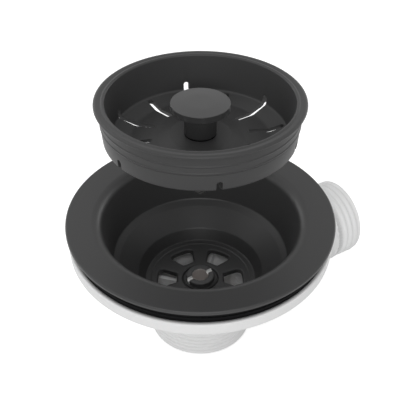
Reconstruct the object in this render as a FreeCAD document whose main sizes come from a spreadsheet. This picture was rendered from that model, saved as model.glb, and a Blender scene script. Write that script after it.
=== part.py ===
import FreeCAD, Part
import Sketcher
import math
import os

# Kitchen sink basket strainer waste with its plug basket lifted out of the cup.
# The frame has its origin on the drain axis at the open end of the outlet, +Z up.
# All lengths are in millimetres and all angles in degrees.

# Driving dimensions: alias, value, what it measures
DIMENSIONS = [
    # outlet and moulded body
    ("outlet_radius", 23.9, "outside of the outlet thread"),
    ("outlet_wall", 3.5, "wall of the outlet tube"),
    ("outlet_thread", 12.0, "threaded length of the outlet"),
    ("outlet_relief", 1.0, "step from the thread down to the neck"),
    ("outlet_chamfer", 0.5, "chamfer on the first thread"),
    ("funnel_start", 15.2, "height where the outlet bore opens into the funnel"),
    ("bowl_gap", 1.7, "from the cup's upper skin to the bowl, across and down"),
    ("bowl_wall", 2.2, "wall of the bowl"),
    ("body_seat", 56.6, "height of the face that carries the lower gasket"),
    ("body_width", 13.9, "from the corner of the mouth to the outside of the body's flange"),
    ("body_plate", 3.2, "thickness of the body's flange"),
    ("rim_width", 1.6, "width of the raised rim round the gasket"),
    ("rim_height", 1.4, "rise of that rim above the gasket's face"),
    ("rim_round", 0.5, "rounding of the rim"),
    ("skirt_width", 2.2, "width of the skirt under the flange"),
    ("skirt_depth", 5.25, "height of the flange's outer wall"),
    ("gusset_count", 16, "stiffening webs under the flange"),
    ("gusset_wall", 1.8, "thickness of one web"),
    ("gusset_depth", 8.0, "height of one web at the bowl"),
    # overflow branch
    ("branch_azimuth", 30.0, "direction of the branch, from +X towards +Y"),
    ("branch_height", 30.1, "height of the branch's axis"),
    ("branch_radius", 18.4, "outside of the branch thread"),
    ("branch_wall", 2.8, "wall of the branch"),
    ("branch_reach", 79.7, "from the drain axis to the open end"),
    ("branch_thread", 13.1, "threaded length of the branch"),
    ("branch_relief", 0.4, "step from the thread down to the neck"),
    ("collar_width", 1.2, "width of the ring behind the thread"),
    ("collar_rise", 0.3, "rise of that ring above the thread"),
    # centre boss, its ribs and the threaded insert
    ("boss_radius", 9.0, "outside of the centre boss"),
    ("boss_foot", 7.0, "height of the boss's lower end"),
    ("rib_wall", 2.0, "thickness of one rib"),
    ("rib_top", 21.2, "height of the ribs' upper edges"),
    ("rib_count", 4, "ribs that hold the boss"),
    ("rib_turn", 45.0, "from the branch to the first rib"),
    ("insert_radius", 6.6, "outside of the brass insert"),
    ("insert_length", 11.0, "length of the insert"),
    ("insert_groove", 0.6, "depth of the grooves that key it in the plastic"),
    ("thread_radius", 5.0, "outside of the fixing screw's thread"),
    ("thread_clearance", 0.05, "radial clearance of the screw in its insert"),
    ("hole_clearance", 0.2, "radial clearance of plain holes round a shank"),
    # pressed strainer flange
    ("sheet_wall", 0.9, "thickness of the pressed sheet"),
    ("flange_width", 14.4, "from the corner of the mouth to the outside of the flange"),
    ("flange_rise", 0.9, "outer edge above the mouth"),
    ("lip_drop", 1.45, "height of the turned down lip"),
    ("edge_bend", 1.0, "bend at the flange's edge"),
    ("mouth_radius", 42.6, "corner between flange and cup wall"),
    ("mouth_bend", 2.5, "bend at the mouth"),
    ("ledge_radius", 38.75, "foot of the cup wall, at the ledge"),
    ("ledge_depth", 23.75, "depth of the ledge below the mouth"),
    ("ledge_bend", 2.0, "bend between wall and ledge"),
    ("seat_radius", 36.0, "upper edge of the conical seat"),
    ("seat_drop", 0.1, "that edge below the foot of the wall"),
    ("seat_bend", 1.2, "bend at that edge"),
    ("throat_radius", 28.1, "lower corner of the conical seat"),
    ("throat_depth", 32.65, "its depth below the mouth"),
    ("throat_bend", 2.0, "bend at that corner"),
    ("sump_radius", 27.0, "foot of the sump's wall"),
    ("sump_depth", 38.55, "depth of the grid below the mouth"),
    ("sump_bend", 4.2, "bend at the foot of the sump's wall"),
    ("grid_radius", 22.1, "edge of the coined grid"),
    ("grid_step", 0.35, "height of that edge"),
    ("hub_radius", 8.2, "recess for the screw's washer"),
    ("hub_recess", 1.0, "depth of that recess"),
    ("petal_count", 6, "openings in the grid"),
    ("petal_inner", 11.0, "inner end of an opening, from the axis"),
    ("petal_outer", 19.8, "outer end of an opening, from the axis"),
    ("petal_shoulder", 18.9, "where an opening is widest, from the axis"),
    ("petal_foot_half", 2.75, "half width at the inner end"),
    ("petal_crown_half", 6.1, "half width at the shoulder"),
    ("petal_arc", 9.5, "half angle of the outer arc"),
    ("petal_foot_bend", 1.0, "rounding of the inner corners"),
    ("petal_crown_bend", 1.9, "rounding of the outer corners"),
    ("petal_collar", 1.4, "turned down edge below the sheet"),
    # seals between flange, sink and body
    ("seal_inset", 2.4, "from the outside of the flange to the upper seal"),
    ("seal_height", 3.5, "height of the upper seal at the mouth"),
    ("gasket_play", 0.1, "from the body's raised rim to the lower gasket"),
    ("gasket_height", 3.45, "height of the lower gasket"),
    ("seal_bore_gap", 2.4, "from the corner of the mouth to the bores of both"),
    # hollow fixing screw
    ("screw_head_radius", 6.5, "outside of the head"),
    ("screw_head_height", 2.4, "height of the head"),
    ("screw_head_round", 0.7, "rounding of the head"),
    ("screw_length", 17.0, "length of the shank"),
    ("screw_bore", 3.65, "radius of the bore for the plug's pin"),
    ("screw_lead", 0.5, "chamfer at both ends of the bore"),
    ("screw_slot_width", 1.9, "width of the driver slot"),
    ("screw_slot_depth", 1.3, "depth of the driver slot"),
    ("screw_turn", 30.0, "direction of the driver slot"),
    ("washer_radius", 7.5, "outside of the washer under the head"),
    ("washer_height", 0.6, "thickness of that washer"),
    # plug basket
    ("plug_lift", 63.5, "height of the lifted basket above its seat"),
    ("seat_clearance", 0.4, "vertical gap that is left at the seat"),
    ("basket_wall", 1.4, "thickness of the basket's floor"),
    ("basket_trough", 27.3, "radius of the floor's lowest ring"),
    ("basket_hub", 12.0, "radius of the flat centre"),
    ("basket_hub_rise", 1.9, "centre above the lowest ring"),
    ("basket_shelf", 17.0, "foot of the slope round the centre"),
    ("basket_shelf_rise", 1.0, "that foot above the lowest ring"),
    ("band_radius", 34.9, "inner edge of the conical band that seats"),
    ("band_rise", 1.9, "that edge above the lowest ring"),
    ("band_width", 2.0, "radial width of that band"),
    ("band_bend", 1.5, "rounding above that band"),
    ("band_foot_bend", 1.0, "rounding below that band"),
    ("corner_radius", 34.4, "inner corner between floor and wall"),
    ("corner_rise", 3.7, "that corner above the lowest ring"),
    ("corner_bend", 1.2, "rounding of that corner"),
    ("trough_bend", 6.0, "curve of the floor at its lowest ring"),
    ("shelf_bend", 5.0, "curve at the foot of the slope round the centre"),
    ("hub_bend", 3.0, "curve at the edge of the flat centre"),
    ("bore_radius", 35.75, "inside of the wall at the rim"),
    ("bore_bend", 0.8, "rounding into the rim"),
    ("wall_radius", 38.0, "outside of the wall below the seal"),
    ("groove_start", 9.8, "lower edge of the seal's groove"),
    ("groove_depth", 0.8, "depth of the groove"),
    ("rim_radius", 39.9, "outside of the basket's rim"),
    ("rim_start", 17.4, "underside of the rim"),
    ("basket_height", 19.3, "top of the rim above the lowest ring"),
    ("rim_bend", 0.5, "rounding of the rim's edge"),
    ("rim_fall", 0.3, "rim's outer and inner edges below its crests"),
    ("roll_radius", 38.7, "crest of the roll on the rim"),
    ("roll_bend", 1.5, "rounding of that crest"),
    ("valley_radius", 37.3, "groove between the roll and the inner ridge"),
    ("valley_depth", 0.25, "depth of that groove"),
    ("ridge_radius", 36.6, "crest of the inner ridge"),
    ("ridge_bend", 0.5, "rounding of that crest"),
    ("slot_count", 6, "long slots, with as many short ones between them"),
    ("slot_turn", 40.0, "direction of the first long slot"),
    ("slot_width", 2.2, "width of a slot"),
    ("slot_start", 18.9, "inner end of a slot, from the axis"),
    ("slot_top", 7.3, "upper end of a long slot, on the wall"),
    ("short_slot_end", 33.4, "outer end of a short slot, on the floor"),
    ("fin_count", 2, "lips on the basket's seal"),
    ("fin_rise", 0.25, "how far a lip stands out"),
    ("fin_width", 1.1, "thickness of a lip at its root"),
    ("fin_pitch", 3.2, "from lip to lip"),
    ("ring_proud", 0.1, "seal outside the wall, between its lips"),
    ("neck_height", 2.4, "narrower part of the seal under the rim"),
    ("neck_depth", 0.5, "depth of that part"),
    # knob, stem and pin
    ("knob_radius", 11.4, "outside of the knob"),
    ("knob_height", 3.0, "thickness of the knob"),
    ("knob_round", 0.25, "rounding of the knob's edges"),
    ("knob_crown", 0.3, "rise of its slightly domed top"),
    ("knob_spigot", 7.5, "length of the threaded spigot under the knob"),
    ("stem_radius", 6.3, "outside of the stem sleeve"),
    ("stem_wall", 1.2, "wall of the stem sleeve"),
    ("stem_length", 10.4, "length of the stem sleeve"),
    ("stem_round", 0.3, "rounding of the sleeve's ends"),
    ("pad_radius", 6.2, "outside of the washer under the stem"),
    ("pad_height", 0.5, "thickness of that washer"),
    ("pin_radius", 2.5, "threaded part of the pin"),
    ("pin_reach", 25.1, "pin's tip below the basket's lowest ring"),
    ("pin_entry", 6.5, "thread of the pin inside the knob"),
    ("pin_neck", 2.0, "part of the pin that carries the catch sleeve"),
    ("tip_radius", 3.2, "head that keeps the sleeve on the pin"),
    ("tip_end", 1.7, "radius of the pin's end face"),
    ("tip_taper", 1.9, "length of the pin's tapered end"),
    ("tip_land", 0.6, "straight part of the head above the taper"),
    ("under_seal_radius", 7.0, "rubber washer under the floor"),
    ("under_seal_height", 1.0, "its thickness"),
    ("under_washer_radius", 6.5, "steel washer under the floor"),
    ("under_washer_height", 1.0, "its thickness"),
    ("nut_flats", 8.0, "across the flats of the nut"),
    ("nut_height", 4.0, "height of the nut"),
    # sprung catch sleeve on the pin
    ("catch_length", 14.0, "length of the sleeve"),
    ("catch_radius", 3.05, "outside of the sleeve"),
    ("catch_gap", 0.1, "radial running gap between sleeve and pin"),
    ("catch_play", 0.2, "gap at each end of the sleeve"),
    ("bead_radius", 3.4, "outside of the beads that catch"),
    ("bead_start", 1.6, "lower edge of the beads"),
    ("bead_length", 2.4, "height of the beads"),
    ("finger_slit", 0.8, "slit between two spring fingers"),
    ("finger_length", 9.5, "length of the spring fingers"),
]

doc = FreeCAD.newDocument("basket_strainer_waste")
sheet = doc.addObject("Spreadsheet::Sheet", "dims")
for row, (alias, value, meaning) in enumerate(DIMENSIONS, 1):
    sheet.set("A%d" % row, alias)
    sheet.set("B%d" % row, str(value))
    sheet.set("C%d" % row, meaning)
    sheet.setAlias("B%d" % row, alias)
doc.recompute()

# Heights that follow from the driving dimensions, written as expressions

# outer edges of flange, moulded body and the two rings between them
FLANGE_EDGE = "(dims.mouth_radius + dims.flange_width)"
SEAL_EDGE = "(dims.mouth_radius + dims.flange_width - dims.seal_inset)"
BODY_EDGE = "(dims.mouth_radius + dims.body_width)"
GASKET_EDGE = "(dims.mouth_radius + dims.body_width - dims.rim_width - dims.gasket_play)"
# the pressed cup, measured from the underside of its hub
MOUTH = "(dims.sump_depth + dims.hub_recess + dims.sheet_wall)"
GRID = "(dims.hub_recess + dims.sheet_wall)"
# the cup's hub stands on the boss at this height
CUP_BASE = "(dims.body_seat + dims.gasket_height + dims.seal_height - dims.sump_depth - dims.hub_recess)"
LEDGE = "(%s + %s - dims.ledge_depth)" % (CUP_BASE, MOUTH)
THROAT = "(%s + %s - dims.throat_depth)" % (CUP_BASE, MOUTH)
CONE_SLOPE = "((dims.throat_depth - dims.ledge_depth - dims.seat_drop) / %s)" % (
    "(dims.seat_radius - dims.throat_radius)")
FLANGE_SLOPE = "(dims.flange_rise / dims.flange_width)"
SHEET_LEAN = "(dims.sheet_wall * (sqrt(1 + %s ^ 2) - 1))" % FLANGE_SLOPE
SCREW_SEAT = "(%s + dims.sheet_wall + dims.washer_height)" % CUP_BASE
# the plug, measured from the lowest ring of the basket's floor
SEATED = "(%s - dims.seat_drop - (dims.seat_radius - dims.band_radius) * %s + %s)" % (
    LEDGE, CONE_SLOPE, "dims.seat_clearance - dims.band_rise")
PLUG_BASE = "(%s + dims.plug_lift)" % SEATED
HUB_TOP = "(%s + dims.basket_hub_rise + dims.basket_wall)" % PLUG_BASE
HUB_UNDER = "(%s + dims.basket_hub_rise)" % PLUG_BASE
STEM_TOP = "(%s + dims.pad_height + dims.stem_length)" % HUB_TOP
PIN_TIP = "(%s - dims.pin_reach)" % PLUG_BASE
CATCH_BASE = "(%s + dims.tip_taper + dims.tip_land + dims.catch_play)" % PIN_TIP


def size(expression):
    """The value of an expression on the sheet, as a plain number."""
    return float(sheet.evalExpression(expression))


def bind(thing, prop, expression):
    thing.setExpression(prop, expression)


def bend_points(before, corner, after, bend):
    """Start, middle and end of the arc that rounds a corner."""
    back = (before - corner).normalize()
    ahead = (after - corner).normalize()
    half = back.getAngle(ahead) / 2
    run = bend / math.tan(half)
    middle = corner + (back + ahead).normalize() * (bend / math.sin(half) - bend)
    return corner + back * run, middle, corner + ahead * run


def pin_down(sketch, geometry, end, x, y):
    """Dimension a point from the sketch's origin by two expressions."""
    for kind, axis, expression in (("DistanceX", -2, x), ("DistanceY", -1, y)):
        if expression == "0":
            sketch.addConstraint(Sketcher.Constraint("PointOnObject", geometry, end, axis))
            continue
        rule = Sketcher.Constraint(kind, -1, 1, geometry, end, size(expression))
        bind(sketch, "Constraints[%d]" % sketch.addConstraint(rule), expression)


def add_bend(sketch, arc, before, after, bend):
    """Round the corner between two lines with an arc, drawn anticlockwise."""
    start, middle, end = arc
    left_turn = (middle - start).cross(end - middle).z > 0
    if left_turn:
        added = sketch.addGeometry(Part.Arc(start, middle, end))
        first, last = 1, 2
    else:
        added = sketch.addGeometry(Part.Arc(end, middle, start))
        first, last = 2, 1
    sketch.addConstraint(Sketcher.Constraint("Tangent", before, 2, added, first))
    sketch.addConstraint(Sketcher.Constraint("Tangent", after, 1, added, last))
    rule = Sketcher.Constraint("Radius", added, size(bend))
    bind(sketch, "Constraints[%d]" % sketch.addConstraint(rule), bend)


def draw(sketch, corners, closed=True):
    """Draw straight runs between corners (x, y) or (x, y, bend), each an expression."""
    count = len(corners)
    points = [FreeCAD.Vector(size(c[0]), size(c[1]), 0) for c in corners]
    starts = list(points)
    ends = list(points)
    arcs = {}
    for i, corner in enumerate(corners):
        inside = closed or 0 < i < count - 1
        if inside and len(corner) > 2:
            arc = bend_points(points[i - 1], points[i], points[(i + 1) % count], size(corner[2]))
            arcs[i] = arc
            ends[i] = arc[0]
            starts[i] = arc[2]
    runs = count if closed else count - 1
    lines = [
        sketch.addGeometry(Part.LineSegment(starts[i], ends[(i + 1) % count]))
        for i in range(runs)
    ]
    for i, corner in enumerate(corners):
        before = lines[i - 1] if closed or i > 0 else None
        after = lines[i] if i < runs else None
        if i in arcs:
            add_bend(sketch, arcs[i], before, after, corner[2])
            mark = sketch.addGeometry(Part.Point(points[i]), True)
            sketch.addConstraint(Sketcher.Constraint("PointOnObject", mark, 1, before))
            sketch.addConstraint(Sketcher.Constraint("PointOnObject", mark, 1, after))
            pin_down(sketch, mark, 1, corner[0], corner[1])
            continue
        if before is not None and after is not None:
            sketch.addConstraint(Sketcher.Constraint("Coincident", before, 2, after, 1))
        if after is not None:
            pin_down(sketch, after, 1, corner[0], corner[1])
        else:
            pin_down(sketch, before, 2, corner[0], corner[1])


def draw_sheet(sketch, corners, wall):
    """Draw a bent sheet: its upper skin as given, its underside to the left of it."""
    draw(sketch, corners, closed=False)
    count = len(corners)
    upper = range(count - 1)
    depth = size(wall)
    points = [FreeCAD.Vector(size(c[0]), size(c[1]), 0) for c in corners]
    ways = [(points[i + 1] - points[i]).normalize() for i in upper]
    sides = [FreeCAD.Vector(-way.y, way.x, 0) for way in ways]
    under = [points[0] + sides[0] * depth]
    for i in range(1, count - 1):
        both = sides[i - 1] + sides[i]
        under.append(points[i] + both * (depth / (1 + sides[i - 1].dot(sides[i]))))
    under.append(points[-1] + sides[-1] * depth)
    starts = list(under)
    ends = list(under)
    arcs = {}
    for i in range(1, count - 1):
        if len(corners[i]) > 2:
            inward = ways[i - 1].cross(ways[i]).z > 0
            bend = "%s %s %s" % (corners[i][2], "-" if inward else "+", wall)
            arcs[i] = (bend_points(under[i - 1], under[i], under[i + 1], size(bend)), bend)
            ends[i] = arcs[i][0][0]
            starts[i] = arcs[i][0][2]
    lines = [sketch.addGeometry(Part.LineSegment(starts[i], ends[i + 1])) for i in upper]
    for i in upper:
        sketch.addConstraint(Sketcher.Constraint("Parallel", lines[i], i))
        rule = Sketcher.Constraint("Distance", lines[i], 1, i, depth)
        bind(sketch, "Constraints[%d]" % sketch.addConstraint(rule), wall)
    for i in range(1, count - 1):
        if i not in arcs:
            sketch.addConstraint(Sketcher.Constraint("Coincident", lines[i - 1], 2, lines[i], 1))
            continue
        add_bend(sketch, arcs[i][0], lines[i - 1], lines[i], arcs[i][1])
    for line, end, point, lower in ((0, 1, 0, starts[0]), (count - 2, 2, count - 1, ends[-1])):
        cap = sketch.addGeometry(Part.LineSegment(points[point], lower))
        sketch.addConstraint(Sketcher.Constraint("Coincident", cap, 1, line, end))
        sketch.addConstraint(Sketcher.Constraint("Coincident", cap, 2, lines[line], end))
        sketch.addConstraint(Sketcher.Constraint("Perpendicular", cap, line))


def draw_circle(sketch, x, y, radius):
    """Draw a circle from three expressions."""
    centre = FreeCAD.Vector(size(x), size(y), 0)
    ring = sketch.addGeometry(Part.Circle(centre, FreeCAD.Vector(0, 0, 1), size(radius)))
    rule = Sketcher.Constraint("Radius", ring, size(radius))
    bind(sketch, "Constraints[%d]" % sketch.addConstraint(rule), radius)
    pin_down(sketch, ring, 3, x, y)


def new_body(label, height="0", turn="0"):
    """A body for one piece, placed on the drain axis."""
    body = doc.addObject("PartDesign::Body", label)
    body.Label = label
    body.Placement = FreeCAD.Placement(
        FreeCAD.Vector(0, 0, size(height)),
        FreeCAD.Rotation(FreeCAD.Vector(0, 0, 1), size(turn)))
    if height != "0":
        bind(body, "Placement.Base.z", height)
    if turn != "0":
        bind(body, "Placement.Rotation.Angle", turn)
    return body


def body_sketch(body, name, role="XZ_Plane", turn="0"):
    """A sketch on one of the body's own planes, turned by an expression."""
    plane = [feature for feature in body.Origin.OriginFeatures if feature.Role == role][0]
    sketch = body.newObject("Sketcher::SketchObject", name)
    sketch.AttachmentSupport = [(plane, "")]
    sketch.MapMode = "FlatFace"
    if turn != "0":
        sketch.AttachmentOffset = FreeCAD.Placement(
            FreeCAD.Vector(0, 0, 0), FreeCAD.Rotation(FreeCAD.Vector(0, 0, 1), size(turn)))
        bind(sketch, "AttachmentOffset.Rotation.Angle", turn)
    return sketch


def turn_profile(body, corners):
    """Revolve a closed profile (radius, height) about the body's axis."""
    sketch = body_sketch(body, body.Label + "_profile")
    draw(sketch, corners)
    turned = body.newObject("PartDesign::Revolution", body.Label + "_turned")
    turned.Profile = sketch
    turned.ReferenceAxis = (sketch, ["V_Axis"])
    turned.Angle = 360
    doc.recompute()
    return turned


def cut_from(body, sketch, name, length, both_ways=False):
    """A pocket that runs along the sketch's normal, or to both sides of it."""
    pocket = body.newObject("PartDesign::Pocket", name)
    pocket.Profile = sketch
    pocket.Type = "Length"
    bind(pocket, "Length", length)
    if both_ways:
        pocket.SideType = "Symmetric"
    else:
        pocket.Reversed = True
    before = body.Tip.Shape.Volume if body.Tip and body.Tip != pocket else None
    doc.recompute()
    if before is not None and not pocket.Shape.Volume < before:
        raise ValueError("the pocket %s cuts nothing" % name)
    return pocket


def repeat_round(body, features, axis_sketch, name, count):
    """Repeat features round the drain axis."""
    pattern = body.newObject("PartDesign::PolarPattern", name)
    pattern.Originals = features
    pattern.Axis = (axis_sketch, ["N_Axis"])
    pattern.Angle = 360
    bind(pattern, "Occurrences", count)
    body.Tip = pattern
    doc.recompute()
    return pattern


def free_sketch(name, corners, upright=True, closed=True, height="0"):
    """A sketch outside any body, upright in the XZ plane or flat at a height."""
    sketch = doc.addObject("Sketcher::SketchObject", name)
    if upright:
        sketch.Placement = FreeCAD.Placement(
            FreeCAD.Vector(0, 0, 0), FreeCAD.Rotation(FreeCAD.Vector(1, 0, 0), 90))
    elif height != "0":
        bind(sketch, "Placement.Base.z", height)
    draw(sketch, corners, closed)
    doc.recompute()
    return sketch


def revolve(name, source):
    """Revolve a face or a closed sketch about the drain axis."""
    turned = doc.addObject("Part::Revolution", name)
    turned.Source = source
    turned.Axis = FreeCAD.Vector(0, 0, 1)
    turned.Base = FreeCAD.Vector(0, 0, 0)
    turned.Angle = 360
    turned.Solid = True
    return turned


def extrude(name, source, length, turn="0", centred=False):
    """Extrude a sketch along its normal and turn the result about the drain axis."""
    block = doc.addObject("Part::Extrusion", name)
    block.Base = source
    block.DirMode = "Normal"
    block.Solid = True
    block.Symmetric = centred
    bind(block, "LengthFwd", length)
    block.Placement.Rotation = FreeCAD.Rotation(FreeCAD.Vector(0, 0, 1), size(turn))
    if turn != "0":
        bind(block, "Placement.Rotation.Angle", turn)
    return block


def join(name, shapes):
    fused = doc.addObject("Part::MultiFuse", name)
    fused.Shapes = shapes
    return fused


def subtract(name, base, tool):
    rest = doc.addObject("Part::Cut", name)
    rest.Base = base
    rest.Tool = tool
    return rest


def branch_cylinder(name, radius, start, length):
    """A cylinder on the branch's axis, from start to start + length along it."""
    rod = doc.addObject("Part::Cylinder", name)
    rod.Placement = FreeCAD.Placement(
        FreeCAD.Vector(0, 0, 0),
        FreeCAD.Rotation(FreeCAD.Vector(0, 0, 1), size("dims.branch_azimuth"))
        * FreeCAD.Rotation(FreeCAD.Vector(0, 1, 0), 90))
    bind(rod, "Radius", radius)
    bind(rod, "Height", length)
    bind(rod, "Placement.Base.x", "(%s) * cos(dims.branch_azimuth)" % start)
    bind(rod, "Placement.Base.y", "(%s) * sin(dims.branch_azimuth)" % start)
    bind(rod, "Placement.Base.z", "dims.branch_height")
    return rod


def strainer_flange():
    """One pressed sheet: flange, stepped cup, conical seat, sump and grid."""
    floor = GRID + " - dims.grid_step"
    body = new_body("cup_sheet")
    skin = body_sketch(body, "cup_skin")
    draw_sheet(skin, [
        (FLANGE_EDGE, MOUTH + " + dims.flange_rise - dims.lip_drop"),
        (FLANGE_EDGE, MOUTH + " + dims.flange_rise", "dims.edge_bend"),
        ("dims.mouth_radius", MOUTH, "dims.mouth_bend"),
        ("dims.ledge_radius", MOUTH + " - dims.ledge_depth", "dims.ledge_bend"),
        ("dims.seat_radius", MOUTH + " - dims.ledge_depth - dims.seat_drop", "dims.seat_bend"),
        ("dims.throat_radius", MOUTH + " - dims.throat_depth", "dims.throat_bend"),
        ("dims.sump_radius", floor, "dims.sump_bend"),
        ("dims.grid_radius", floor),
        ("dims.grid_radius", GRID),
        ("dims.hub_radius", GRID),
        ("dims.hub_radius", "dims.sheet_wall"),
        ("dims.thread_radius + dims.hole_clearance", "dims.sheet_wall"),
    ], "dims.sheet_wall")
    pressed = body.newObject("PartDesign::Revolution", "cup_pressed")
    pressed.Profile = skin
    pressed.ReferenceAxis = (skin, ["V_Axis"])
    pressed.Angle = 360
    doc.recompute()

    underside = "dims.hub_recess - dims.petal_collar"
    outline = free_sketch("petal_outline", [
        ("dims.petal_inner", "-dims.petal_foot_half", "dims.petal_foot_bend"),
        ("dims.petal_shoulder", "-dims.petal_crown_half", "dims.petal_crown_bend"),
        ("dims.petal_outer / cos(dims.petal_arc)", "0", "dims.petal_outer"),
        ("dims.petal_shoulder", "dims.petal_crown_half", "dims.petal_crown_bend"),
        ("dims.petal_inner", "dims.petal_foot_half", "dims.petal_foot_bend"),
    ], upright=False, height=underside)
    petal = doc.addObject("Part::Face", "petal_face")
    petal.Sources = (outline,)
    petal.FaceMakerClass = "Part::FaceMakerSimple"
    collar_face = doc.addObject("Part::Offset2D", "petal_collar_outline")
    collar_face.Source = petal
    collar_face.Mode = "Skin"
    collar_face.Join = "Arc"
    bind(collar_face, "Value", "dims.sheet_wall")
    doc.recompute()

    collars = []
    openings = []
    for k in range(int(size("dims.petal_count"))):
        turn = "%d * 360 / dims.petal_count" % k
        collars.append(extrude(
            "petal_collar_%d" % k, collar_face, "dims.petal_collar + dims.sheet_wall / 2", turn))
        openings.append(extrude(
            "petal_opening_%d" % k, outline, "dims.petal_collar + 2 * dims.sheet_wall", turn))
    drawn = join("cup_with_collars", [body] + collars)
    flange = subtract("strainer_flange", drawn, join("petal_openings", openings))
    flange.Label = "strainer_flange"
    bind(flange, "Placement.Base.z", CUP_BASE)
    return flange


def flange_seal():
    """Upper rubber ring, shaped to the dished underside of the flange."""
    bore = "(dims.mouth_radius + dims.seal_bore_gap)"
    top = "dims.seal_height - %s + " % SHEET_LEAN
    body = new_body("flange_seal", "dims.body_seat + dims.gasket_height")
    turn_profile(body, [
        (bore, "0"),
        (SEAL_EDGE, "0", "0.4"),
        (SEAL_EDGE, top + "(%s - dims.mouth_radius) * " % SEAL_EDGE + FLANGE_SLOPE, "0.4"),
        (bore, top + "dims.seal_bore_gap * " + FLANGE_SLOPE),
    ])
    return body


def body_gasket():
    """Lower rubber ring on the seat of the moulded body."""
    bore = "(dims.mouth_radius + dims.seal_bore_gap)"
    body = new_body("body_gasket", "dims.body_seat")
    turn_profile(body, [
        (bore, "0"),
        (GASKET_EDGE, "0", "0.4"),
        (GASKET_EDGE, "dims.gasket_height", "0.4"),
        (bore, "dims.gasket_height"),
    ])
    return body


def waste_body():
    """Moulded body: flange, bowl, outlet, overflow branch, boss and ribs."""
    outlet_bore = "(dims.outlet_radius - dims.outlet_wall)"
    neck = "(dims.outlet_radius - dims.outlet_relief)"
    bowl = "dims.bowl_gap + dims.bowl_wall"
    plate_under = "dims.body_seat - dims.body_plate"
    rim_top = "dims.body_seat + dims.rim_height"
    funnel_top = "(%s + dims.bowl_gap)" % CUP_BASE
    outside = free_sketch("body_outside", [
        ("0", "0"),
        ("dims.outlet_radius - dims.outlet_chamfer", "0"),
        ("dims.outlet_radius", "dims.outlet_chamfer"),
        ("dims.outlet_radius", "dims.outlet_thread"),
        (neck, "dims.outlet_thread + dims.outlet_relief"),
        (neck, "dims.funnel_start"),
        ("dims.throat_radius + " + bowl, funnel_top),
        ("dims.throat_radius + " + bowl, THROAT + " - dims.bowl_gap - dims.bowl_wall / 2"),
        ("dims.ledge_radius + " + bowl, LEDGE + " - dims.bowl_gap - dims.bowl_wall / 2", "2"),
        ("dims.mouth_radius + " + bowl, plate_under, "1"),
        (BODY_EDGE + " - dims.skirt_width", plate_under),
        (BODY_EDGE + " - dims.skirt_width", rim_top + " - dims.skirt_depth"),
        (BODY_EDGE, rim_top + " - dims.skirt_depth", "dims.rim_round"),
        (BODY_EDGE, rim_top, "dims.rim_round"),
        (BODY_EDGE + " - dims.rim_width", rim_top),
        (BODY_EDGE + " - dims.rim_width", "dims.body_seat"),
        ("0", "dims.body_seat"),
    ])
    inside = free_sketch("body_inside", [
        ("0", "-1"),
        (outlet_bore, "-1"),
        (outlet_bore, "dims.funnel_start"),
        ("dims.throat_radius + dims.bowl_gap", funnel_top),
        ("dims.throat_radius + dims.bowl_gap", THROAT + " - dims.bowl_gap"),
        ("dims.ledge_radius + dims.bowl_gap", LEDGE + " - dims.bowl_gap"),
        ("dims.mouth_radius + dims.bowl_gap", "dims.body_seat"),
        ("dims.mouth_radius + dims.bowl_gap", "dims.body_seat + 1"),
        ("0", "dims.body_seat + 1"),
    ])
    gusset = free_sketch("gusset_outline", [
        ("dims.mouth_radius + dims.bowl_gap + dims.bowl_wall / 2", plate_under + " + 0.5"),
        (BODY_EDGE + " - dims.skirt_width / 2", plate_under + " + 0.5"),
        (BODY_EDGE + " - dims.skirt_width / 2", rim_top + " - dims.skirt_depth + 0.3"),
        ("dims.mouth_radius + dims.bowl_gap", plate_under + " - dims.gusset_depth"),
    ])
    gussets = [
        extrude("gusset_%d" % k, gusset, "dims.gusset_wall", "%d * 360 / dims.gusset_count" % k, True)
        for k in range(int(size("dims.gusset_count")))
    ]
    thread_start = "dims.branch_reach - dims.branch_thread"
    neck_tube = branch_cylinder(
        "branch_neck", "dims.branch_radius - dims.branch_relief", "0", thread_start)
    collar = branch_cylinder(
        "branch_collar", "dims.branch_radius + dims.collar_rise",
        thread_start + " - dims.collar_width", "dims.collar_width")
    thread = branch_cylinder("branch_thread", "dims.branch_radius", thread_start, "dims.branch_thread")
    bore = branch_cylinder(
        "branch_bore", "dims.branch_radius - dims.branch_wall", "0", "dims.branch_reach + 1")
    outer = join("body_outer", [revolve("body_solid", outside), neck_tube, collar, thread] + gussets)
    hollow = join("body_hollow", [revolve("body_cavity", inside), bore])
    shell = subtract("body_shell", outer, hollow)

    boss_sketch = free_sketch("boss_outline", [
        ("dims.insert_radius", "dims.boss_foot"),
        ("dims.boss_radius", "dims.boss_foot", "0.6"),
        ("dims.boss_radius", CUP_BASE),
        ("dims.thread_radius + dims.hole_clearance", CUP_BASE),
        ("dims.thread_radius + dims.hole_clearance", "dims.boss_foot + dims.insert_length"),
        ("dims.insert_radius", "dims.boss_foot + dims.insert_length"),
    ])
    into_wall = "dims.outlet_wall / 3"
    funnel_slope = "((%s - dims.funnel_start) / (dims.throat_radius + dims.bowl_gap - %s))" % (
        funnel_top, outlet_bore)
    rib = free_sketch("rib_outline", [
        ("dims.boss_radius - 1", "dims.boss_foot + 1"),
        (outlet_bore + " + " + into_wall, "dims.boss_foot + 1"),
        (outlet_bore + " + " + into_wall, "dims.funnel_start"),
        (outlet_bore + " + " + into_wall + " + (dims.rib_top - dims.funnel_start) / " + funnel_slope,
         "dims.rib_top"),
        ("dims.boss_radius - 1", "dims.rib_top"),
    ])
    ribs = [
        extrude("rib_%d" % k, rib, "dims.rib_wall",
                "dims.branch_azimuth + dims.rib_turn + %d * 360 / dims.rib_count" % k, True)
        for k in range(int(size("dims.rib_count")))
    ]
    whole = join("waste_body", [shell, revolve("boss_solid", boss_sketch)] + ribs)
    whole.Label = "waste_body"
    return whole


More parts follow.
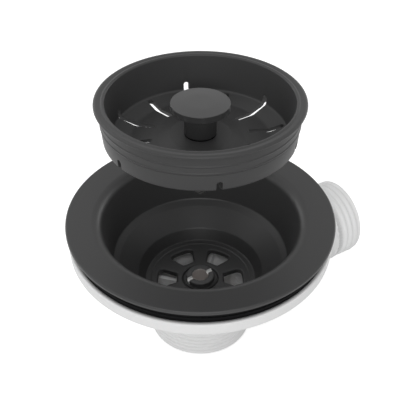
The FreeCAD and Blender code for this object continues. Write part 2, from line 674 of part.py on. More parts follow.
def boss_insert():
    """Brass insert moulded into the boss, with two grooves that key it."""
    groove = "dims.insert_radius - dims.insert_groove"
    body = new_body("boss_insert", "dims.boss_foot")
    corners = [
        ("dims.thread_radius + dims.thread_clearance", "0"),
        ("dims.insert_radius", "0"),
    ]
    for k in (1, 3):
        low = "dims.insert_length * %d / 5" % k
        high = "dims.insert_length * %d / 5" % (k + 1)
        corners += [
            ("dims.insert_radius", low),
            (groove, low),
            (groove, high),
            ("dims.insert_radius", high),
        ]
    corners += [
        ("dims.insert_radius", "dims.insert_length"),
        ("dims.thread_radius + dims.thread_clearance", "dims.insert_length"),
    ]
    turn_profile(body, corners)
    return body


def fixing_screw():
    """Hollow slotted screw that pulls cup, seals, sink and body together."""
    top = "dims.screw_length + dims.screw_head_height"
    body = new_body("fixing_screw", SCREW_SEAT + " - dims.screw_length", "dims.screw_turn")
    turn_profile(body, [
        ("dims.screw_bore + dims.screw_lead", "0"),
        ("dims.thread_radius - dims.screw_lead", "0"),
        ("dims.thread_radius", "dims.screw_lead"),
        ("dims.thread_radius", "dims.screw_length"),
        ("dims.screw_head_radius", "dims.screw_length"),
        ("dims.screw_head_radius", top, "dims.screw_head_round"),
        ("dims.screw_bore + dims.screw_lead", top),
        ("dims.screw_bore", top + " - dims.screw_lead"),
        ("dims.screw_bore", "dims.screw_lead"),
    ])
    slot = body_sketch(body, "screw_slot", "YZ_Plane")
    draw(slot, [
        ("-dims.screw_slot_width / 2", top + " - dims.screw_slot_depth"),
        ("dims.screw_slot_width / 2", top + " - dims.screw_slot_depth"),
        ("dims.screw_slot_width / 2", top + " + 1"),
        ("-dims.screw_slot_width / 2", top + " + 1"),
    ])
    cut_from(body, slot, "screw_slot_cut", "4 * dims.screw_head_radius", both_ways=True)
    return body


def plain_washer(label, height, outer, inner, thickness):
    """A flat ring round the drain axis."""
    body = new_body(label, height)
    turn_profile(body, [
        (inner, "0"),
        (outer, "0"),
        (outer, thickness),
        (inner, thickness),
    ])
    return body


def strainer_basket():
    """Moulded basket: ribbed rim, groove for the seal, dished and slotted floor."""
    band_edge = "dims.band_radius + dims.band_width"
    band_top = "dims.band_rise + dims.band_width * " + CONE_SLOPE
    hole = "dims.pin_radius + dims.hole_clearance"
    body = new_body("strainer_basket", PLUG_BASE, "dims.slot_turn")
    turn_profile(body, [
        (hole, "dims.basket_hub_rise"),
        ("dims.basket_hub", "dims.basket_hub_rise", "dims.hub_bend"),
        ("dims.basket_shelf", "dims.basket_shelf_rise", "dims.shelf_bend"),
        ("dims.basket_trough", "0", "dims.trough_bend"),
        ("dims.band_radius", "dims.band_rise", "dims.band_foot_bend"),
        (band_edge, band_top, "dims.band_bend"),
        ("dims.wall_radius", "dims.groove_start"),
        ("dims.wall_radius - dims.groove_depth", "dims.groove_start"),
        ("dims.wall_radius - dims.groove_depth", "dims.rim_start"),
        ("dims.rim_radius", "dims.rim_start", "0.3"),
        ("dims.rim_radius", "dims.basket_height - dims.rim_fall", "dims.rim_bend"),
        ("dims.roll_radius", "dims.basket_height", "dims.roll_bend"),
        ("dims.valley_radius", "dims.basket_height - dims.valley_depth", "0.3"),
        ("dims.ridge_radius", "dims.basket_height", "dims.ridge_bend"),
        ("dims.bore_radius", "dims.basket_height - dims.rim_fall", "dims.bore_bend"),
        ("dims.corner_radius", "dims.corner_rise", "dims.corner_bend"),
        ("dims.basket_trough", "dims.basket_wall", "dims.trough_bend - dims.basket_wall"),
        ("dims.basket_shelf", "dims.basket_shelf_rise + dims.basket_wall",
         "dims.shelf_bend + dims.basket_wall"),
        ("dims.basket_hub", "dims.basket_hub_rise + dims.basket_wall",
         "dims.hub_bend + dims.basket_wall"),
        (hole, "dims.basket_hub_rise + dims.basket_wall"),
    ])
    half = "dims.slot_width / 2"
    beyond = "dims.rim_radius + 2"
    end_round = "0.49 * dims.slot_width"
    floor_slot = body_sketch(body, "slot_floor", "XY_Plane")
    draw(floor_slot, [
        ("dims.slot_start", "-" + half, end_round),
        (beyond, "-" + half),
        (beyond, half),
        ("dims.slot_start", half, end_round),
    ])
    floor_cut = cut_from(body, floor_slot, "slot_floor_cut", "dims.slot_top - " + half)
    wall_slot = body_sketch(body, "slot_wall", "YZ_Plane")
    draw_circle(wall_slot, "0", "dims.slot_top - " + half, half)
    wall_cut = cut_from(body, wall_slot, "slot_wall_cut", beyond)
    repeat_round(body, [floor_cut, wall_cut], floor_slot, "long_slots", "dims.slot_count")
    short_slot = body_sketch(body, "slot_short", "XY_Plane", turn="180 / dims.slot_count")
    draw(short_slot, [
        ("dims.slot_start", "-" + half, end_round),
        ("dims.short_slot_end", "-" + half, end_round),
        ("dims.short_slot_end", half, end_round),
        ("dims.slot_start", half, end_round),
    ])
    short_cut = cut_from(body, short_slot, "slot_short_cut", "dims.corner_rise + dims.basket_wall")
    repeat_round(body, [short_cut], floor_slot, "short_slots", "dims.slot_count")
    return body


def basket_seal():
    """Ribbed rubber ring in the basket's groove."""
    length = "(dims.rim_start - dims.groove_start)"
    inner = "dims.wall_radius - dims.groove_depth"
    outer = "(dims.wall_radius + dims.ring_proud)"
    body = new_body("basket_seal", PLUG_BASE + " + dims.groove_start")
    corners = [(inner, "0"), (outer, "0")]
    for k in range(int(size("dims.fin_count"))):
        low = "0.1 + %d * dims.fin_pitch" % k
        corners += [
            (outer, low),
            (outer + " + dims.fin_rise", low + " + dims.fin_width * 0.35"),
            (outer + " + dims.fin_rise", low + " + dims.fin_width * 0.65"),
            (outer, low + " + dims.fin_width"),
        ]
    corners += [
        (outer, length + " - dims.neck_height"),
        (outer + " - dims.neck_depth", length + " - dims.neck_height"),
        (outer + " - dims.neck_depth", length),
        (inner, length),
    ]
    turn_profile(body, corners)
    return body


def stem_sleeve():
    """Tube between the basket's floor and the knob."""
    body = new_body("stem_sleeve", HUB_TOP + " + dims.pad_height")
    turn_profile(body, [
        ("dims.stem_radius - dims.stem_wall", "0"),
        ("dims.stem_radius", "0", "dims.stem_round"),
        ("dims.stem_radius", "dims.stem_length"),
        ("dims.stem_radius - dims.stem_wall", "dims.stem_length"),
    ])
    return body


def lift_knob():
    """Turned knob with a threaded spigot that reaches down into the sleeve."""
    spigot = "dims.stem_radius - dims.stem_wall - dims.thread_clearance"
    top = "dims.knob_spigot + dims.knob_height"
    body = new_body("lift_knob", STEM_TOP + " - dims.knob_spigot")
    turn_profile(body, [
        ("dims.pin_radius", "0"),
        (spigot, "0"),
        (spigot, "dims.knob_spigot"),
        ("dims.knob_radius", "dims.knob_spigot", "dims.knob_round"),
        ("dims.knob_radius", top + " - dims.knob_crown", "dims.knob_round"),
        ("dims.knob_radius / 2", top, "5 * dims.knob_radius"),
        ("0", top),
        ("0", "dims.pin_entry + 0.5"),
        ("dims.pin_radius", "dims.pin_entry + 0.5"),
    ])
    return body


def plug_pin():
    """Steel pin: threaded stud above, neck for the catch sleeve, tapered head."""
    land = "(dims.tip_taper + dims.tip_land)"
    shoulder = "(%s + dims.catch_length + 2 * dims.catch_play)" % land
    end = "(%s - dims.knob_spigot + dims.pin_entry - %s)" % (STEM_TOP, PIN_TIP)
    body = new_body("plug_pin", PIN_TIP)
    turn_profile(body, [
        ("0", "0"),
        ("dims.tip_end", "0", "0.3"),
        ("dims.tip_radius", "dims.tip_taper"),
        ("dims.tip_radius", land),
        ("dims.pin_neck", land),
        ("dims.pin_neck", shoulder),
        ("dims.pin_radius", shoulder),
        ("dims.pin_radius", end + " - 0.5"),
        ("dims.pin_radius - 0.5", end),
        ("0", end),
    ])
    return body


def pin_nut():
    """Hexagon nut that clamps the floor between washers and stem."""
    body = new_body(
        "pin_nut", HUB_UNDER + " - dims.under_seal_height - dims.under_washer_height - dims.nut_height")
    hexagon = body_sketch(body, "nut_hexagon", "XY_Plane")
    corner = "dims.nut_flats / sqrt(3)"
    flat = "dims.nut_flats / 2"
    draw(hexagon, [
        (corner, "0"),
        (corner + " / 2", flat),
        ("-" + corner + " / 2", flat),
        ("-" + corner, "0"),
        ("-" + corner + " / 2", "-" + flat),
        (corner + " / 2", "-" + flat),
    ])
    blank = body.newObject("PartDesign::Pad", "nut_blank")
    blank.Profile = hexagon
    bind(blank, "Length", "dims.nut_height")
    doc.recompute()
    bore = body_sketch(body, "nut_bore", "XY_Plane")
    draw_circle(bore, "0", "0", "dims.pin_radius")
    cut_from(body, bore, "nut_bore_cut", "dims.nut_height")
    bevel = body_sketch(body, "nut_bevel_profile")
    bevel_depth = "0.12 * dims.nut_height"
    draw(bevel, [
        (flat, "dims.nut_height + 1"),
        (flat, "dims.nut_height"),
        (corner + " + 0.1", "dims.nut_height - " + bevel_depth),
        (corner + " + 2", "dims.nut_height - " + bevel_depth),
        (corner + " + 2", "dims.nut_height + 1"),
    ])
    bevel_cut = body.newObject("PartDesign::Groove", "nut_bevel")
    bevel_cut.Profile = bevel
    bevel_cut.ReferenceAxis = (bevel, ["V_Axis"])
    bevel_cut.Angle = 360
    doc.recompute()
    return body


def catch_sleeve():
    """Split spring sleeve on the pin, whose beads catch in the hollow screw."""
    bore = "dims.pin_neck + dims.catch_gap"
    slope = "0.35 * dims.bead_length"
    bead_end = "(dims.bead_start + dims.bead_length)"
    body = new_body("catch_sleeve", CATCH_BASE)
    turn_profile(body, [
        (bore, "0"),
        ("dims.catch_radius - 0.3", "0"),
        ("dims.catch_radius", "0.3"),
        ("dims.catch_radius", "dims.bead_start"),
        ("dims.bead_radius", "dims.bead_start + " + slope),
        ("dims.bead_radius", bead_end + " - " + slope),
        ("dims.catch_radius", bead_end),
        ("dims.catch_radius", "dims.catch_length"),
        (bore, "dims.catch_length"),
    ])
    slit = body_sketch(body, "finger_slit", "YZ_Plane")
    draw(slit, [
        ("-dims.finger_slit / 2", "-1"),
        ("dims.finger_slit / 2", "-1"),
        ("dims.finger_slit / 2", "dims.finger_length"),
        ("-dims.finger_slit / 2", "dims.finger_length"),
    ])
    slit_cut = cut_from(body, slit, "finger_slit_cut", "4 * dims.bead_radius", both_ways=True)
    ring = body_sketch(body, "sleeve_axis", "XY_Plane")
    repeat = body.newObject("PartDesign::PolarPattern", "finger_slits")
    repeat.Originals = [slit_cut]
    repeat.Axis = (ring, ["N_Axis"])
    repeat.Angle = 90
    repeat.Occurrences = 2
    body.Tip = repeat
    doc.recompute()
    return body


subparts = [
    strainer_flange(),
    flange_seal(),
    body_gasket(),
    waste_body(),
    boss_insert(),
    fixing_screw(),
    plain_washer("screw_washer", CUP_BASE + " + dims.sheet_wall", "dims.washer_radius",
                 "dims.thread_radius + dims.hole_clearance", "dims.washer_height"),
    catch_sleeve(),
    strainer_basket(),
    basket_seal(),
    stem_sleeve(),
    lift_knob(),
    plain_washer("stem_washer", HUB_TOP, "dims.pad_radius",
                 "dims.pin_radius + dims.hole_clearance", "dims.pad_height"),
    plug_pin(),
    plain_washer("floor_seal", HUB_UNDER + " - dims.under_seal_height", "dims.under_seal_radius",
                 "dims.pin_radius", "dims.under_seal_height"),
    plain_washer("floor_washer", HUB_UNDER + " - dims.under_seal_height - dims.under_washer_height",
                 "dims.under_washer_radius", "dims.pin_radius + dims.hole_clearance",
                 "dims.under_washer_height"),
    pin_nut(),
]
doc.recompute()

for thing in doc.Objects:
    if "Invalid" in thing.State or "Error" in thing.State:
        raise ValueError("%s failed: %s" % (thing.Name, thing.State))
for piece in subparts:
    shape = piece.Shape
    if shape.isNull() or not shape.isValid() or len(shape.Solids) != 1:
        raise ValueError("%s is not one valid solid" % piece.Label)

os.makedirs("parts", exist_ok=True)
for piece in subparts:
    piece.Shape.exportStep("parts/%s.step" % piece.Label)
    box = piece.Shape.BoundBox
    print("%-16s volume %9.1f  z %6.2f to %6.2f  radius %5.2f" % (
        piece.Label, piece.Shape.Volume, box.ZMin, box.ZMax, box.XMax))
print("seated basket at %.3f, lifted at %.3f, cup on boss at %.3f" % (
    size(SEATED), size(PLUG_BASE), size(CUP_BASE)))
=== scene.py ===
import math

import bmesh
import bpy
from mathutils import Matrix, Vector


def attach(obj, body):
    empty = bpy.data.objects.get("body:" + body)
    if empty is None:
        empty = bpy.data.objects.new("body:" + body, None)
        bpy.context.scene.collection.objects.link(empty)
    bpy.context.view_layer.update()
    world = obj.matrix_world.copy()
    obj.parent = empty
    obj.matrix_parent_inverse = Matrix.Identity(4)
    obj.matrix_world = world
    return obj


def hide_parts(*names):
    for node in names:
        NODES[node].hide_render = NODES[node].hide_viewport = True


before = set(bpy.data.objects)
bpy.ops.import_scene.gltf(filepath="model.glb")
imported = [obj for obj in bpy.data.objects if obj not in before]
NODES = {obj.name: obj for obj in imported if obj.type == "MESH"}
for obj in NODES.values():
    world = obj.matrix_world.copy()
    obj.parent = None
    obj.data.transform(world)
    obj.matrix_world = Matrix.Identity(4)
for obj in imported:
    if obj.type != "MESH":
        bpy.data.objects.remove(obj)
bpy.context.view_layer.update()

MM = 0.001
TAU = 2 * math.pi

# Sizes in millimetres, first the pressed cup: heights of mouth and grid, flange radius and sheet
MOUTH = 64.45
GRID = MOUTH - 38.55
FLANGE_RADIUS = 56.98
SHEET = 0.9

# Moulded body: radius and pitch of both threads, height and turn of the branch
OUTLET_RADIUS = 23.9
OUTLET_PITCH = 2.31
BRANCH_RADIUS = 18.4
BRANCH_PITCH = 3.0
BRANCH_HEIGHT = 30.1
BRANCH_TURN = 30

# Hollow screw's bare metal faces, whose sheen and glint are painted in as pale flat colours: reach of its
# bore, then its driver slot's start, half width, floor and turn
BORE_REACH = 3.75
DRIVER_START = 3.9
DRIVER_HALF = 1.0
DRIVER_FLOOR = (1.0, 2.0)
DRIVER_TURN = 30

# Plug basket: height of its lowest ring, then its slots and its seal's groove, measured from there
PLUG = 101.375
SLOT_WIDTH = 2.2
SLOT_START = 18.9
SLOT_TOP = 7.3
FLOOR_SLOT_TOP = 5.2
SHORT_SLOT_END = 33.4
LONG_SLOT_END = 42.0
SLOT_TURN = 40
GROOVE_START = 10.2
GROOVE_END = 17.9

# Camera fitted to the photograph, in metres, degrees below level and millimetres of lens
CAMERA_PLACE = (0, -0.2095, 0.2370)
CAMERA_TILT = 38.29
CAMERA_LENS = 57.19
CAMERA_SHIFT = -0.001

# Strength of the world's light, tone of the floor, and its glow where it is seen
AMBIENT = 0.40
FLOOR_TONE = 0.80
FLOOR_GLOW = 0.55


def bent(corners, steps=8, closed=True):
    """Points along straight runs whose corners (x, y, bend) are rounded."""
    count = len(corners)
    points = []
    for i, corner in enumerate(corners):
        here = Vector(corner[:2])
        inside = closed or 0 < i < count - 1
        if not inside or len(corner) < 3 or corner[2] <= 0:
            points.append(here)
            continue
        back = (Vector(corners[i - 1][:2]) - here).normalized()
        ahead = (Vector(corners[(i + 1) % count][:2]) - here).normalized()
        half = back.angle(ahead) / 2
        centre = here + (back + ahead).normalized() * (corner[2] / math.sin(half))
        start = here + back * (corner[2] / math.tan(half)) - centre
        sweep = start.angle_signed(here + ahead * (corner[2] / math.tan(half)) - centre)
        for k in range(steps + 1):
            points.append(centre + Matrix.Rotation(-sweep * k / steps, 2) @ start)
    return points


def smooth(mesh, angle=32):
    """Smooth shading that keeps the edges sharper than an angle."""
    for face in mesh.polygons:
        face.use_smooth = True
    mesh.set_sharp_from_angle(angle=math.radians(angle))


def to_object(name, build):
    """An object from a bmesh, with its faces turned outwards."""
    bmesh.ops.recalc_face_normals(build, faces=build.faces)
    mesh = bpy.data.meshes.new(name)
    build.to_mesh(mesh)
    build.free()
    return bpy.data.objects.new(name, mesh)


def dress(thing, material, body, node, angle):
    """Finish a piece that rides on a body and stands for a node."""
    smooth(thing.data, angle)
    thing.data.materials.clear()
    thing.data.materials.append(material)
    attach(thing, body)
    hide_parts(node)


def link(thing):
    """The object, put into the scene."""
    bpy.context.scene.collection.objects.link(thing)
    return thing


def lathe(name, profile, segments=240):
    """A closed profile of points (radius, height) revolved about the drain's axis."""
    build = bmesh.new()
    turns = [TAU * k / segments for k in range(segments)]
    rings = []
    for radius, height in profile:
        rings.append([build.verts.new((radius * math.cos(turn), radius * math.sin(turn), height))
                      for turn in turns])
    for low, high in zip(rings, rings[1:] + rings[:1]):
        for k in range(segments):
            j = (k + 1) % segments
            build.faces.new((low[k], low[j], high[j], high[k]))
    return link(to_object(name, build))


def shader(name, colour, roughness, metallic=0.0, specular=0.5, grain=0.0, grain_size=900.0, bump=0.0):
    """A principled material, with fine grain in its roughness and relief."""
    material = bpy.data.materials.new(name)
    material.use_nodes = True
    tree = material.node_tree
    bsdf = tree.nodes["Principled BSDF"]
    bsdf.inputs["Base Color"].default_value = (*colour, 1)
    bsdf.inputs["Roughness"].default_value = roughness
    bsdf.inputs["Metallic"].default_value = metallic
    bsdf.inputs["Specular IOR Level"].default_value = specular
    if grain or bump:
        place = tree.nodes.new("ShaderNodeTexCoord")
        noise = tree.nodes.new("ShaderNodeTexNoise")
        noise.inputs["Scale"].default_value = grain_size
        noise.inputs["Detail"].default_value = 3
        tree.links.new(place.outputs["Object"], noise.inputs["Vector"])
        if grain:
            spread = tree.nodes.new("ShaderNodeMapRange")
            spread.inputs["To Min"].default_value = roughness - grain
            spread.inputs["To Max"].default_value = roughness + grain
            tree.links.new(noise.outputs["Fac"], spread.inputs["Value"])
            tree.links.new(spread.outputs["Result"], bsdf.inputs["Roughness"])
        if bump:
            relief = tree.nodes.new("ShaderNodeBump")
            relief.inputs["Strength"].default_value = bump
            relief.inputs["Distance"].default_value = 0.05 * MM
            tree.links.new(noise.outputs["Fac"], relief.inputs["Height"])
            tree.links.new(relief.outputs["Normal"], bsdf.inputs["Normal"])
    return material


COATING = shader("anthracite_coating", (0.0370, 0.0370, 0.0373), 0.42,
                 specular=0.30, grain=0.04, grain_size=1500, bump=0.10)
MOULDED = shader("dark_moulding", (0.0430, 0.0430, 0.0433), 0.44,
                 specular=0.22, grain=0.04, grain_size=1200, bump=0.10)
KNOB = shader("knob_coating", (0.0370, 0.0370, 0.0374), 0.36,
              specular=0.38, grain=0.03, grain_size=1500, bump=0.08)
WHITE = shader("white_moulding", (0.76, 0.76, 0.76), 0.50,
               specular=0.25, grain=0.03, grain_size=900, bump=0.05)
SCREW = shader("screw_coating", (0.058, 0.058, 0.059), 0.40, specular=0.35)
# Pale flat colours for the screw's bare bore and slot: bare metal, with its sheen and glint painted into
# the colour instead of reflected
BARE_BORE_PAINTED_SHEEN = shader("screw_bore", (0.55, 0.51, 0.49), 0.45, specular=0.4)
BARE_SLOT_PAINTED_GLINT = shader("screw_slot", (0.85, 0.85, 0.84), 0.40)
RUBBER = shader("seal_rubber", (0.004, 0.004, 0.0043), 0.60, specular=0.08)
STEEL = shader("bare_steel", (0.60, 0.59, 0.58), 0.28, metallic=1.0)
BRASS = shader("insert_brass", (0.62, 0.44, 0.20), 0.3, metallic=1.0)
ACETAL = shader("acetal", (0.70, 0.69, 0.66), 0.4)

FINISH = {
    "strainer_flange": COATING,
    "flange_seal": RUBBER,
    "body_gasket": RUBBER,
    "waste_body": WHITE,
    "boss_insert": BRASS,
    "fixing_screw": SCREW,
    "screw_washer": COATING,
    "catch_sleeve": ACETAL,
    "strainer_basket": MOULDED,
    "basket_seal": MOULDED,
    "stem_sleeve": MOULDED,
    "lift_knob": KNOB,
    "stem_washer": RUBBER,
    "plug_pin": STEEL,
    "floor_seal": RUBBER,
    "floor_washer": STEEL,
    "pin_nut": STEEL,
}
for node, material in FINISH.items():
    mesh = NODES[node].data
    if not mesh.materials:
        mesh.materials.append(material)
    for index in range(len(mesh.materials)):
        mesh.materials[index] = material
    smooth(mesh, 25)


def helical_cutter(section, pitch, start, end, place, steps=72):
    """A solid whose section (radius, height) winds up the axis from start to end."""
    build = bmesh.new()
    count = int(round((end - start) / pitch * steps))
    rings = []
    for k in range(count + 1):
        turn = TAU * k / steps
        rise = start + pitch * k / steps
        rings.append([build.verts.new(place @ Vector((r * math.cos(turn), r * math.sin(turn), rise + z)))
                      for r, z in section])
    for low, high in zip(rings, rings[1:]):
        for i in range(len(section)):
            j = (i + 1) % len(section)
            build.faces.new((low[i], low[j], high[j], high[i]))
    build.faces.new(rings[0])
    build.faces.new(list(reversed(rings[-1])))
    return to_object("cutter", build)


def groove(radius, depth, wide, narrow):
    """Section of a thread's groove, rounded at its foot."""
    middle = (wide + narrow) / 2
    return [
        (radius + 0.6, -wide), (radius + 0.6, wide), (radius, wide), (radius - depth * 0.5, middle),
        (radius - depth * 0.9, narrow), (radius - depth, 0), (radius - depth * 0.9, -narrow),
        (radius - depth * 0.5, -middle), (radius, -wide),
    ]


def carve(thing, cutters, overlapping=False, joined=0):
    """Join the first shapes to a piece and cut the rest out of it, then turn it from mm to metres."""
    for index, cutter in enumerate(cutters):
        link(cutter)
        cut = thing.modifiers.new("cut", "BOOLEAN")
        cut.operation = "UNION" if index < joined else "DIFFERENCE"
        cut.solver = "EXACT"
        cut.use_self = overlapping
        cut.object = cutter
    bpy.context.view_layer.update()
    ready = thing.evaluated_get(bpy.context.evaluated_depsgraph_get())
    carved = bpy.data.meshes.new_from_object(ready)
    thing.modifiers.clear()
    thing.data = carved
    for cutter in cutters:
        bpy.data.objects.remove(cutter)
    carved.transform(Matrix.Scale(MM, 4))


def build_threaded_body():
    """The moulded body with the threads on its outlet and branch."""
    mesh = NODES["waste_body"].data.copy()
    mesh.name = "threaded_body"
    mesh.transform(Matrix.Scale(1 / MM, 4))
    thing = link(bpy.data.objects.new("threaded_body", mesh))
    upright = Matrix.Identity(4)
    along = (Matrix.Translation((0, 0, BRANCH_HEIGHT))
             @ Matrix.Rotation(math.radians(BRANCH_TURN), 4, "Z")
             @ Matrix.Rotation(math.radians(90), 4, "Y"))
    outlet = groove(OUTLET_RADIUS, depth=0.45, wide=0.95, narrow=0.3)
    branch = groove(BRANCH_RADIUS, depth=0.6, wide=1.2, narrow=0.4)
    carve(thing, [
        helical_cutter(outlet, OUTLET_PITCH, start=-2.4, end=11.4, place=upright),
        helical_cutter(branch, BRANCH_PITCH, start=67.6, end=82.5, place=along),
    ])
    dress(thing, WHITE, "waste", "waste_body", 35)


def build_screw():
    """The hollow screw, bare metal in its driver slot and in its bore, with a warm sheen painted into the
    bore and a bright glint painted onto the slot.
    """
    mesh = NODES["fixing_screw"].data.copy()
    mesh.name = "slotted_screw"
    mesh.materials.append(BARE_BORE_PAINTED_SHEEN)
    mesh.materials.append(BARE_SLOT_PAINTED_GLINT)
    top = max(vertex.co.z for vertex in mesh.vertices)
    across = Matrix.Rotation(math.radians(DRIVER_TURN), 3, "Z") @ Vector((0, 1, 0))
    for face in mesh.polygons:
        out = math.hypot(face.center.x, face.center.y) / MM
        aside = abs(face.center.dot(across)) / MM
        depth = (top - face.center.z) / MM
        floor = face.normal.z > 0.9 and DRIVER_FLOOR[0] < depth < DRIVER_FLOOR[1]
        side = abs(face.normal.z) < 0.1 and aside < DRIVER_HALF and out > DRIVER_START
        # Painted sheen on the bore's faces, painted glint on the slot's floor and sides
        if out < BORE_REACH:
            face.material_index = 1
        elif floor or side:
            face.material_index = 2
    thing = link(bpy.data.objects.new("slotted_screw", mesh))
    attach(thing, "waste")
    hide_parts("fixing_screw")


def moved_out(points, distance, closed=True):
    """A path set off to its left, so that a closed path that runs anticlockwise shrinks."""
    moved = []
    count = len(points)
    for i, here in enumerate(points):
        back = here - points[i - 1] if closed or i else points[1] - here
        ahead = points[(i + 1) % count] - here if closed or i < count - 1 else back
        first = Vector((-back.y, back.x)).normalized()
        second = Vector((-ahead.y, ahead.x)).normalized()
        middle = (first + second).normalized()
        moved.append(here + middle * (distance / max(middle.dot(second), 0.5)))
    return moved


def tidy(points):
    """The path without points that fall on the one before."""
    return [here for i, here in enumerate(points) if (here - points[i - 1]).length > 1e-4]


def petal_solids(levels):
    """Six solids shaped as the grid's openings, from levels of (growth, height)."""
    outline = tidy(bent([
        (11.0, -2.75, 1.0), (18.9, -6.1, 1.9), (20.08, 0.0, 19.8), (18.9, 6.1, 1.9), (11.0, 2.75, 1.0),
    ], steps=6))
    build = bmesh.new()
    for index in range(6):
        turn = Matrix.Rotation(TAU * index / 6, 4, "Z")
        rings = []
        for growth, height in levels:
            rings.append([build.verts.new(turn @ Vector((v.x, v.y, height)))
                          for v in moved_out(outline, -growth)])
        for low, high in zip(rings, rings[1:]):
            for k in range(len(low)):
                j = (k + 1) % len(low)
                build.faces.new((low[k], low[j], high[j], high[k]))
        build.faces.new(list(reversed(rings[0])))
        build.faces.new(rings[-1])
    return to_object("petals", build)


def build_flange():
    """Pressed sheet with soft bends, and openings whose edges are turned down."""
    skin = tidy(bent([
        (FLANGE_RADIUS, MOUTH - 0.55), (FLANGE_RADIUS, MOUTH + 0.9, 0.7), (42.6, MOUTH, 4.8),
        (38.85, MOUTH - 22.5, 1.6), (36.1, MOUTH - 24.75, 1.0), (28.1, MOUTH - 32.65, 3.2),
        (25.3, GRID + 0.4, 0.7), (23.1, GRID + 0.35, 0.2), (22.6, GRID, 0.2),
        (8.2, GRID, 1.0), (8.0, GRID - 1.0, 0.3), (5.2, GRID - 1.0),
    ], closed=False))
    below = moved_out(skin, SHEET, closed=False)
    thing = lathe("pressed_flange", skin + below[::-1])
    collars = petal_solids([(SHEET, GRID - SHEET - 1.4), (SHEET, GRID - SHEET / 2)])
    bends = [math.pi / 2 * k / 8 for k in range(8, -1, -1)]
    edge = [(SHEET * (1 - math.sin(bend)), GRID - SHEET * (1 - math.cos(bend))) for bend in bends]
    openings = petal_solids([(0.0, GRID - 4.0)] + edge + [(SHEET, GRID + 1.0)])
    carve(thing, [collars, openings], joined=1)
    even = thing.modifiers.new("even", "WEIGHTED_NORMAL")
    even.keep_sharp = True
    dress(thing, COATING, "waste", "strainer_flange", 32)


def prism(build, low, high):
    """Add a solid between two outlines with the same number of points."""
    low = [build.verts.new(point) for point in low]
    high = [build.verts.new(point) for point in high]
    for k in range(len(low)):
        j = (k + 1) % len(low)
        build.faces.new((low[k], low[j], high[j], high[k]))
    build.faces.new(list(reversed(low)))
    build.faces.new(high)


def slot_cutter():
    """Twelve slots: long ones run up the wall, short ones stay on the floor."""
    build = bmesh.new()
    half = SLOT_WIDTH / 2
    arc = [(math.cos(math.pi * k / 10), math.sin(math.pi * k / 10)) for k in range(11)]
    inner_end = [(SLOT_START + half - half * s, -half * c) for c, s in reversed(arc)]
    outer_end = [(SHORT_SLOT_END - half + half * s, -half * c) for c, s in arc]
    long_plan = [(LONG_SLOT_END, half)] + inner_end + [(LONG_SLOT_END, -half)]
    long_top = SLOT_TOP - half
    round_top = [(half * c, long_top + half * s) for c, s in arc] + [(-half, 4.0), (half, 4.0)]
    for index in range(12):
        turn = Matrix.Rotation(math.radians(SLOT_TURN + 30 * index), 4, "Z")
        place = Matrix.Translation((0, 0, PLUG)) @ turn
        long_one = index % 2 == 0
        plan = long_plan if long_one else inner_end + outer_end
        top = long_top if long_one else FLOOR_SLOT_TOP
        prism(build, *([place @ Vector((x, y, z)) for x, y in plan] for z in (-1.0, top)))
        if long_one:
            prism(build, *([place @ Vector((x, y, z)) for y, z in round_top] for x in (31.0, 42.5)))
    return to_object("cutter", build)


def raised(corners):
    """A profile given from the basket's lowest ring, at the plug's height."""
    return [(corner[0], corner[1] + PLUG, *corner[2:]) for corner in corners]


def build_basket():
    """Basket with its rolled rim and slots."""
    profile = bent(raised([
        (2.7, 1.9), (12.0, 1.9, 3.0), (17.0, 1.0, 5.0), (27.3, 0.06, 6.0), (34.9, 1.9, 1.0),
        (35.95, 3.07, 0.4), (37.5, 3.35, 1.1), (37.75, 7.0), (37.9, GROOVE_START, 0.15),
        (37.2, GROOVE_START), (37.2, GROOVE_END), (38.1, GROOVE_END, 0.1), (39.9, 18.15, 0.4),
        (39.9, 18.95, 0.5), (38.9, 19.3, 1.3), (37.3, 19.0, 0.4), (36.55, 19.3, 0.5), (35.75, 19.0, 0.7),
        (34.4, 3.7, 1.2), (27.3, 1.46, 4.6), (17.0, 2.4, 6.4), (12.0, 3.3, 4.4), (2.7, 3.3),
    ]), steps=6)
    basket = lathe("basket", profile)
    carve(basket, [slot_cutter()], overlapping=True)
    dress(basket, MOULDED, "plug", "strainer_basket", 30)


def build_seal():
    """Ring with two lips in the basket's groove."""
    profile = bent(raised([
        (37.25, GROOVE_START + 0.05), (37.95, GROOVE_START + 0.05, 0.15), (38.0, 10.6, 0.3),
        (38.25, 11.0, 0.25), (38.0, 11.5, 0.3), (38.05, 13.4, 0.3), (38.3, 13.9, 0.25), (38.05, 14.4, 0.3),
        (38.15, 17.5, 0.2), (38.0, GROOVE_END - 0.05, 0.2), (37.25, GROOVE_END - 0.05),
    ]), steps=4)
    seal = lathe("ribbed_seal", profile)
    seal.data.transform(Matrix.Scale(MM, 4))
    dress(seal, MOULDED, "plug", "basket_seal", 32)


def add_light(name, position, target, width, height, power):
    """A soft box at a position, turned to a target."""
    lamp = bpy.data.lights.new(name, "AREA")
    lamp.shape = "RECTANGLE"
    lamp.size = width
    lamp.size_y = height
    lamp.energy = power
    thing = link(bpy.data.objects.new(name, lamp))
    thing.location = position
    thing.rotation_euler = (Vector(target) - Vector(position)).to_track_quat("-Z", "Y").to_euler()


def seen_directly(tree):
    """Camera, glossy and transmitted rays, which all see the white background."""
    path = tree.nodes.new("ShaderNodeLightPath")
    total = path.outputs["Is Camera Ray"]
    for kind in ("Is Glossy Ray", "Is Transmission Ray"):
        either = tree.nodes.new("ShaderNodeMath")
        either.operation = "MAXIMUM"
        tree.links.new(total, either.inputs[0])
        tree.links.new(path.outputs[kind], either.inputs[1])
        total = either.outputs["Value"]
    return total


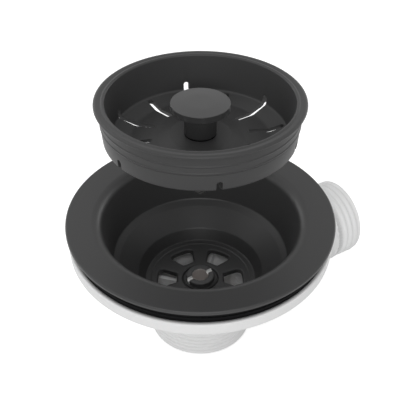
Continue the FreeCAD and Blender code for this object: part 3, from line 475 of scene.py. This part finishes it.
def build_world():
    """A soft world that camera, glossy and transmitted rays see as white."""
    world = bpy.data.worlds.new("studio")
    bpy.context.scene.world = world
    world.use_nodes = True
    tree = world.node_tree
    tree.nodes.clear()
    out = tree.nodes.new("ShaderNodeOutputWorld")
    ambient = tree.nodes.new("ShaderNodeBackground")
    ambient.inputs["Color"].default_value = (1, 1, 1, 1)
    ambient.inputs["Strength"].default_value = AMBIENT
    seen = tree.nodes.new("ShaderNodeBackground")
    seen.inputs["Color"].default_value = (1, 1, 1, 1)
    seen.inputs["Strength"].default_value = 1.0
    mix = tree.nodes.new("ShaderNodeMixShader")
    tree.links.new(seen_directly(tree), mix.inputs["Fac"])
    tree.links.new(ambient.outputs["Background"], mix.inputs[1])
    tree.links.new(seen.outputs["Background"], mix.inputs[2])
    tree.links.new(mix.outputs["Shader"], out.inputs["Surface"])


def build_floor():
    """A pale floor that takes the object's shadow and is lifted to white where it is seen."""
    mesh = bpy.data.meshes.new("floor")
    reach = 3.0
    mesh.from_pydata([(-reach, -reach, 0), (reach, -reach, 0), (reach, reach, 0), (-reach, reach, 0)],
                     [], [(0, 1, 2, 3)])
    floor = link(bpy.data.objects.new("floor", mesh))
    floor.location.z = -0.5 * MM
    material = bpy.data.materials.new("floor_white")
    material.use_nodes = True
    tree = material.node_tree
    bsdf = tree.nodes["Principled BSDF"]
    bsdf.inputs["Base Color"].default_value = (FLOOR_TONE, FLOOR_TONE, FLOOR_TONE, 1)
    bsdf.inputs["Roughness"].default_value = 0.9
    bsdf.inputs["Specular IOR Level"].default_value = 0.0
    glow = tree.nodes.new("ShaderNodeEmission")
    glow.inputs["Color"].default_value = (1, 1, 1, 1)
    glow.inputs["Strength"].default_value = FLOOR_GLOW
    both = tree.nodes.new("ShaderNodeAddShader")
    mix = tree.nodes.new("ShaderNodeMixShader")
    tree.links.new(bsdf.outputs["BSDF"], both.inputs[0])
    tree.links.new(glow.outputs["Emission"], both.inputs[1])
    tree.links.new(seen_directly(tree), mix.inputs["Fac"])
    tree.links.new(bsdf.outputs["BSDF"], mix.inputs[1])
    tree.links.new(both.outputs["Shader"], mix.inputs[2])
    tree.links.new(mix.outputs["Shader"], tree.nodes["Material Output"].inputs["Surface"])
    mesh.materials.append(material)


def build_lamps():
    """Soft boxes fitted to the photograph's light."""
    centre = (0, 0, 0.06)
    add_light("key", (-0.55, 0.45, 0.85), centre, 0.7, 0.6, 1.2)
    add_light("left_box", (-0.9, -0.1, 0.45), centre, 0.6, 0.6, 1.0)
    add_light("front_fill", (0.0, -0.9, 0.52), centre, 0.6, 0.25, 3.2)
    add_light("high_front", (0.0, -0.45, 0.95), centre, 0.6, 0.4, 2.4)
    add_light("back_left", (-0.7, 0.7, 0.22), centre, 0.5, 0.35, 1.5)
    add_light("back_right", (0.7, 0.7, 0.22), centre, 0.5, 0.35, 1.8)


def build_camera():
    """The photograph's view."""
    camera = bpy.data.cameras.new("camera")
    camera.lens = CAMERA_LENS
    camera.sensor_width = 36
    camera.shift_x = CAMERA_SHIFT
    camera.clip_start = 0.01
    thing = link(bpy.data.objects.new("camera", camera))
    thing.location = CAMERA_PLACE
    thing.rotation_euler = (math.radians(90 - CAMERA_TILT), 0, 0)
    bpy.context.scene.camera = thing


build_threaded_body()
build_screw()
build_flange()
build_basket()
build_seal()
build_world()
build_floor()
build_lamps()
build_camera()
bpy.context.scene.view_settings.view_transform = "Standard"
